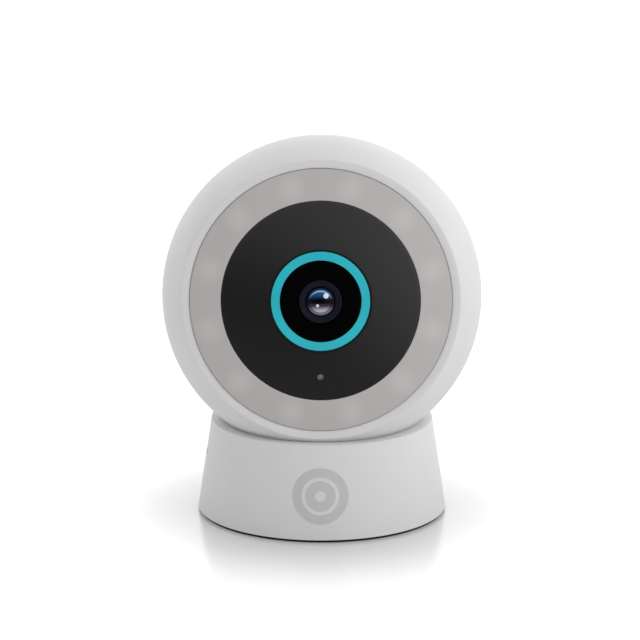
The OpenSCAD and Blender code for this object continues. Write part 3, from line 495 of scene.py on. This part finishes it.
def carve(bm, cutter):
    # takes the cutter out of the mesh and gives the mesh back
    parts = []
    for source in (bm, cutter):
        mesh = bpy.data.meshes.new("carving")
        bmesh.ops.recalc_face_normals(source, faces=source.faces)
        source.to_mesh(mesh)
        source.free()
        part = bpy.data.objects.new("carving", mesh)
        bpy.context.scene.collection.objects.link(part)
        parts.append(part)
    modifier = parts[0].modifiers.new("carve", "BOOLEAN")
    modifier.operation = "DIFFERENCE"
    modifier.solver = "EXACT"
    modifier.object = parts[1]
    depsgraph = bpy.context.evaluated_depsgraph_get()
    carved = bpy.data.meshes.new_from_object(parts[0].evaluated_get(depsgraph))
    result = bmesh.new()
    result.from_mesh(carved)
    for part in parts:
        bpy.data.objects.remove(part)
    return result


def boxCutter(bm, low, high):
    low, high = Vector(low) * mm, Vector(high) * mm
    matrix = Matrix.Translation((low + high) / 2) @ Matrix.Diagonal((*(high - low), 1))
    bmesh.ops.create_cube(bm, size=1, matrix=matrix)


shell = {
    "radius": 45, "wall": 2.2, "faceDepth": 23.46, "seam": -8, "rimInner": 36.06, "rimFlange": 2.4,
    "turns": 160, "corner": 0.3, "slotHalf": 8.4, "slotFirst": 79, "slotReach": 60,
}


def onBall(radius, height):
    return math.sqrt(radius ** 2 - height ** 2)


def frontShell():
    outer, inner = shell["radius"], shell["radius"] - shell["wall"]
    under = shell["faceDepth"] - shell["rimFlange"]
    bm = turned([
        (onBall(outer, shell["seam"]), shell["seam"]),
        (onBall(outer, shell["faceDepth"]), shell["faceDepth"], 0, 48),
        (shell["rimInner"], shell["faceDepth"]),
        (shell["rimInner"], under),
        (onBall(inner, under), under),
        (onBall(inner, shell["seam"]), shell["seam"], 0, 40),
    ], shell["turns"], shell["corner"])
    # slot that the neck passes through, open at the seam
    cutter = bmesh.new()
    half, reach = shell["slotHalf"], shell["slotReach"]
    boxCutter(cutter, (-half, -reach, -reach), (half, 0, half))
    lean = Matrix.Rotation(math.radians(shell["slotFirst"] - 90), 3, "X")
    bmesh.ops.rotate(cutter, verts=cutter.verts, matrix=lean)
    makeFacePiece("frontShell", carve(bm, cutter), "shell_white", "front_shell")


face = {
    "domeRadius": 113, "domeCrown": 29.7, "wall": 1.8, "turns": 160, "corner": 0.12,
    "diffuserOuter": 36.0, "diffuserInner": 27.36, "panelOuter": 27.3, "panelInner": 13.68,
    "statusOuter": 13.5, "statusInner": 11.2, "bezelOuter": 11.14, "bezelInner": 5.9,
    "guideBack": 22.2, "guideInset": 0.5, "bezelBack": 21.2, "bezelTube": 1.14,
    "micDrop": 20.9, "micRadius": 0.9, "micDepth": 20,
}


def domeHeight(radius, depth=0.0):
    sphere = face["domeRadius"] - depth
    return face["domeCrown"] - face["domeRadius"] + onBall(sphere, radius)


def domeRing(outer, inner, tail=None):
    # ring of the face's dome, with an optional tube behind it as (outer radius, back)
    centre = face["domeCrown"] - face["domeRadius"]
    wall = face["wall"]
    outline = [(inner, domeHeight(inner)), (outer, domeHeight(outer), centre, 14),
               (outer, domeHeight(outer, wall))]
    if tail:
        outline += [(tail[0], domeHeight(tail[0], wall)), (tail[0], tail[1]), (inner, tail[1])]
    else:
        outline += [(inner, domeHeight(inner, wall), centre, 14)]
    return turned(outline, face["turns"], face["corner"])


def facePieces():
    diffuserRing = domeRing(face["diffuserOuter"], face["diffuserInner"])
    makeFacePiece("lightDiffuser", diffuserRing, "diffuser", "led_diffuser")

    panel = domeRing(face["panelOuter"], face["panelInner"])
    port = bmesh.new()
    bmesh.ops.create_cone(port, cap_ends=True, segments=40, radius1=face["micRadius"] * mm,
                          radius2=face["micRadius"] * mm, depth=face["micDepth"] * mm,
                          matrix=Matrix.Translation((0, -face["micDrop"] * mm, face["domeCrown"] * mm)))
    makeFacePiece("facePanel", carve(panel, port), "panel_black", "face_panel")

    outer = face["statusOuter"]
    guide = domeRing(outer, face["statusInner"], (outer - face["guideInset"], face["guideBack"]))
    makeFacePiece("statusRing", guide, "status_cyan", "status_ring")

    centre = face["domeCrown"] - face["domeRadius"]
    outer, inner, wall = face["bezelOuter"], face["bezelInner"], face["wall"]
    tube = outer - face["bezelTube"]
    bezel = turned([
        (inner, domeHeight(inner)),
        (outer, domeHeight(outer), centre, 10),
        (outer, face["bezelBack"]),
        (tube, face["bezelBack"]),
        (tube, domeHeight(tube, wall)),
        (inner, domeHeight(inner, wall), centre, 6),
    ], face["turns"], face["corner"])
    makeFacePiece("lensBezel", bezel, "bezel_black", "lens_bezel")


lens = {
    "barrel": 5.8, "front": 29.9, "lip": 0.5, "holderTop": 19.8, "turns": 128, "corner": 0.05,
    "bore": 2.8, "shoulder": 3.3, "shoulderDepth": 3.2,
    "steps": 4, "stepStart": 0.55, "stepWidth": 0.12, "stepDepth": 0.14, "coneStart": 0.12, "coneDepth": 0.75,
    "glass": 4.0, "glassGap": 0.02, "curve": 5.6, "seatDepth": 2.2, "glassEdge": 1.7,
}


def lensPieces():
    radius, front, glass = lens["barrel"], lens["front"], lens["glass"]
    seat = front - lens["seatDepth"]
    shoulderBack = seat - lens["shoulderDepth"]
    # stepped cone in front of the glass
    cone = []
    for i in range(lens["steps"]):
        at = radius - lens["stepStart"] - i * (radius - lens["stepStart"] - glass) / lens["steps"]
        depth = front - lens["coneStart"] - i * lens["stepDepth"]
        cone += [(at, depth), (at - lens["stepWidth"], depth - lens["stepDepth"])]
    barrel = turned([
        (lens["bore"], lens["holderTop"]),
        (radius, lens["holderTop"]),
        (radius, front),
        (radius - lens["lip"], front),
        *cone,
        (glass, front - lens["coneDepth"]),
        (glass, seat),
        (lens["shoulder"], seat),
        (lens["shoulder"], shoulderBack),
        (lens["bore"], shoulderBack),
    ], lens["turns"], lens["corner"], 40, 2)
    makeFacePiece("lensBarrel", barrel, "barrel_black", "lens_barrel")

    edge = glass - lens["glassGap"]
    centre = seat + lens["glassEdge"] - onBall(lens["curve"], glass)
    dome = turned([
        (0, seat),
        (edge, seat),
        (edge, centre + onBall(lens["curve"], glass)),
        (0, centre + lens["curve"], centre, 24),
    ], lens["turns"])
    makeFacePiece("frontGlass", dome, "lens_glass", "front_lens", 60)


frontShell()
facePieces()
lensPieces()
print("head pieces made")


base = {
    "bottomRadius": 35.3, "bottom": 0.8, "rimRadius": 31.4, "rimInner": 27.67, "rimHeight": 26.8,
    "flange": 24.6, "seatRadius": 45.02, "wall": 2.2, "turns": 160, "corner": 0.06,
    "powerWidth": 12.4, "powerLow": 4.4, "powerHigh": 10.8, "powerCorner": 1.4, "powerIn": 26,
    "buttonRadius": 2.15, "buttonTurn": 24, "buttonHeight": 7, "buttonOut": 33, "buttonDepth": 10,
    "cardWidth": 12, "cardLow": 16.9, "cardHigh": 18.3, "cardIn": 28, "clear": 40,
    "footOuter": 34.7, "footInner": 24, "footCorner": 0.15,
}


def baseShell():
    slope = (base["bottomRadius"] - base["rimRadius"]) / (base["rimHeight"] - base["bottom"])
    headHeight = ballCentre.z / mm
    innerTop = base["bottomRadius"] - slope * (base["flange"] - base["bottom"]) - base["wall"]
    seatLow = onBall(base["seatRadius"], headHeight - base["flange"])
    bm = turned([
        (base["bottomRadius"], base["bottom"]), (base["rimRadius"], base["rimHeight"]),
        (base["rimInner"], base["rimHeight"]), (seatLow, base["flange"], headHeight, 6),
        (innerTop, base["flange"]), (base["bottomRadius"] - base["wall"], base["bottom"]),
    ], base["turns"], base["corner"])
    cutters = bmesh.new()
    half, clear = base["powerWidth"] / 2, base["clear"]
    boxCutter(cutters, (-half, base["powerIn"], base["powerLow"]), (half, clear, base["powerHigh"]))
    # rounds the edges of the power opening that run through the wall
    through = [e for e in cutters.edges if abs(e.verts[0].co.y - e.verts[1].co.y) > 5 * mm]
    bmesh.ops.bevel(cutters, geom=through, offset=base["powerCorner"] * mm, affect="EDGES", segments=6,
                    profile=0.5, material=-1)
    half = base["cardWidth"] / 2
    boxCutter(cutters, (-clear, -half, base["cardLow"]), (-base["cardIn"], half, base["cardHigh"]))
    turn = Matrix.Rotation(math.radians(base["buttonTurn"]), 4, "Z")
    place = Matrix.Translation((0, base["buttonOut"] * mm, base["buttonHeight"] * mm))
    bmesh.ops.create_cone(cutters, cap_ends=True, segments=40, radius1=base["buttonRadius"] * mm,
                          radius2=base["buttonRadius"] * mm, depth=base["buttonDepth"] * mm,
                          matrix=turn @ place @ Matrix.Rotation(math.pi / 2, 4, "X"))
    makePiece("baseShell", carve(bm, cutters), "base", "shell_white", ["base_shell"])


def footRing():
    bm = turned([(base["footInner"], 0), (base["footOuter"], 0), (base["footOuter"], base["bottom"]),
                 (base["footInner"], base["bottom"])], base["turns"], base["footCorner"])
    makePiece("footRing", bm, "base", "foot_rubber", ["foot_ring"])


baseShell()
footRing()
print("base pieces made")


# the frame's other nodes keep their own shape and take a finish
nodeFinishes = {
    "shell_white": ["rear_shell", "base_plate", "slot_liner", "neck_column"],
    "inner_white": ["base_frame", "reset_button", "motor_bracket"],
    "brass": ["tripod_insert", "pan_bush", "tilt_bushes"],
    "plated_steel": ["ballast_plate", "base_screws", "usb_c_jack", "card_socket", "pan_motor", "pan_clip",
                     "neck_screws", "tilt_axle", "axle_clip", "tilt_motor", "shield_can", "head_screws"],
    "badge_grey": ["front_badge"],
    "board_green": ["power_board", "card_board", "sensor_board", "main_board"],
    "chip_black": ["power_board_parts", "reset_switch", "image_sensor", "microphone"],
    "gear_plastic": ["pan_pinion", "thrust_washer", "turntable", "tilt_gear", "tilt_pinion"],
    "frame_black": ["front_frame", "lens_holder", "speaker", "speaker_gasket"],
    "heat_sink": ["heat_sink"],
    "board_white": ["led_board"],
    "board_black": ["ir_board"],
    "lamp_yellow": ["white_leds"],
    "lamp_white": ["status_leds"],
    "lamp_dark": ["ir_leds"],
    "lens_glass": ["rear_lens"],
    "filter_glass": ["ir_cut_filter"],
    "mesh_grey": ["mic_mesh"],
    "antenna": ["wifi_antenna"],
}
for slotName, names in nodeFinishes.items():
    for name in names:
        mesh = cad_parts[name].data
        mesh.materials.clear()
        mesh.materials.append(finishes[slotName])
print("frame nodes finished")


table = {
    "radius": 3.0, "colour": (0.64, 0.64, 0.64), "roughness": 0.2, "ior": 1.85,
    "glow": 0.54, "glowNear": (0.13, 0.13, 0.13), "glowReach": (30, 84), "glowCast": 0.42,
}


def makeTable():
    bm = bmesh.new()
    bmesh.ops.create_circle(bm, cap_ends=True, segments=96, radius=table["radius"])
    mesh = bpy.data.meshes.new("tableTop")
    bm.to_mesh(mesh)
    bm.free()
    mesh.materials.append(tableFinish(table))
    top = bpy.data.objects.new("tableTop", mesh)
    bpy.context.scene.collection.objects.link(top)


room = {
    "white": 1.06, "level": 0.845, "ceiling": 0.18, "overhead": (0.2, 0.9),
    "backdrop": 0.1, "mirrored": 0.7, "behind": (0.0, -0.6),
    "dark": (-0.34, -0.936, -0.087), "depth": 0.88, "edge": 0.6, "core": 0.93,
}
lights = [
    {"name": "keyLight", "place": (0.52, -0.42, 0.46), "size": (0.5, 0.5), "power": 1.15},
    {"name": "fillLight", "place": (-0.6, -0.6, 0.25), "size": (0.6, 0.6), "power": 0.3},
]


def makeLights():
    for light in lights:
        data = bpy.data.lights.new(light["name"], "AREA")
        data.shape = "RECTANGLE"
        data.size, data.size_y = light["size"]
        data.energy = light["power"]
        lamp = bpy.data.objects.new(light["name"], data)
        lamp.location = light["place"]
        lamp.rotation_euler = (ballCentre - lamp.location).to_track_quat("-Z", "Y").to_euler()
        bpy.context.scene.collection.objects.link(lamp)
    world = bpy.data.worlds.new("studio")
    bpy.context.scene.world = world
    world.use_nodes = True
    world.node_tree.nodes.clear()
    # a pale room with a dark patch towards the front left, which keeps the black faces black
    sky = Wire(world.node_tree)
    direction = sky.node("TexCoord", output="Generated")
    ahead = sky.node("VectorMath", {"operation": "DOT_PRODUCT"}, {0: direction, 1: room["dark"]}, 1)
    shade = step(sky, ahead, room["edge"], room["core"]) * room["depth"]
    behind = step(sky, ahead, *room["behind"])
    overhead = step(sky, axes(sky, direction)[2], *room["overhead"]) * room["ceiling"]
    mirror = sky.node("LightPath", output="Is Glossy Ray")
    seen = sky.node("LightPath", output="Is Camera Ray")
    lit = (1 - shade) * (room["level"] - overhead) + behind * (mirror * room["mirrored"] + room["backdrop"])
    strength = seen * room["white"] + (1 - seen) * lit
    light = sky.node("Background", {}, {"Color": (1, 1, 1), "Strength": strength})
    sky.node("OutputWorld", {}, {"Surface": light})


camera = {
    "lens": 168.75, "sensor": 36, "near": 0.01, "far": 20,
    "distance": 0.846, "azimuth": 0.7, "elevation": 13.0, "aimDown": 7.32, "aimLeft": 0.53,
}


def makeCamera():
    turn, rise = math.radians(camera["azimuth"]), math.radians(camera["elevation"])
    back = Vector((math.sin(turn) * math.cos(rise), -math.cos(turn) * math.cos(rise), math.sin(rise)))
    place = ballCentre + back * camera["distance"]
    right = Vector((math.cos(turn), math.sin(turn), 0))
    up = back.cross(right)
    target = ballCentre - up * camera["aimDown"] * mm - right * camera["aimLeft"] * mm
    data = bpy.data.cameras.new("viewer")
    data.lens = camera["lens"]
    data.sensor_width = camera["sensor"]
    data.clip_start, data.clip_end = camera["near"], camera["far"]
    viewer = bpy.data.objects.new("viewer", data)
    viewer.location = place
    viewer.rotation_euler = (target - place).to_track_quat("-Z", "Y").to_euler()
    bpy.context.scene.collection.objects.link(viewer)
    bpy.context.scene.camera = viewer


makeTable()
makeLights()
makeCamera()
bpy.context.scene.view_settings.view_transform = "Standard"
print("table, lights and camera made")
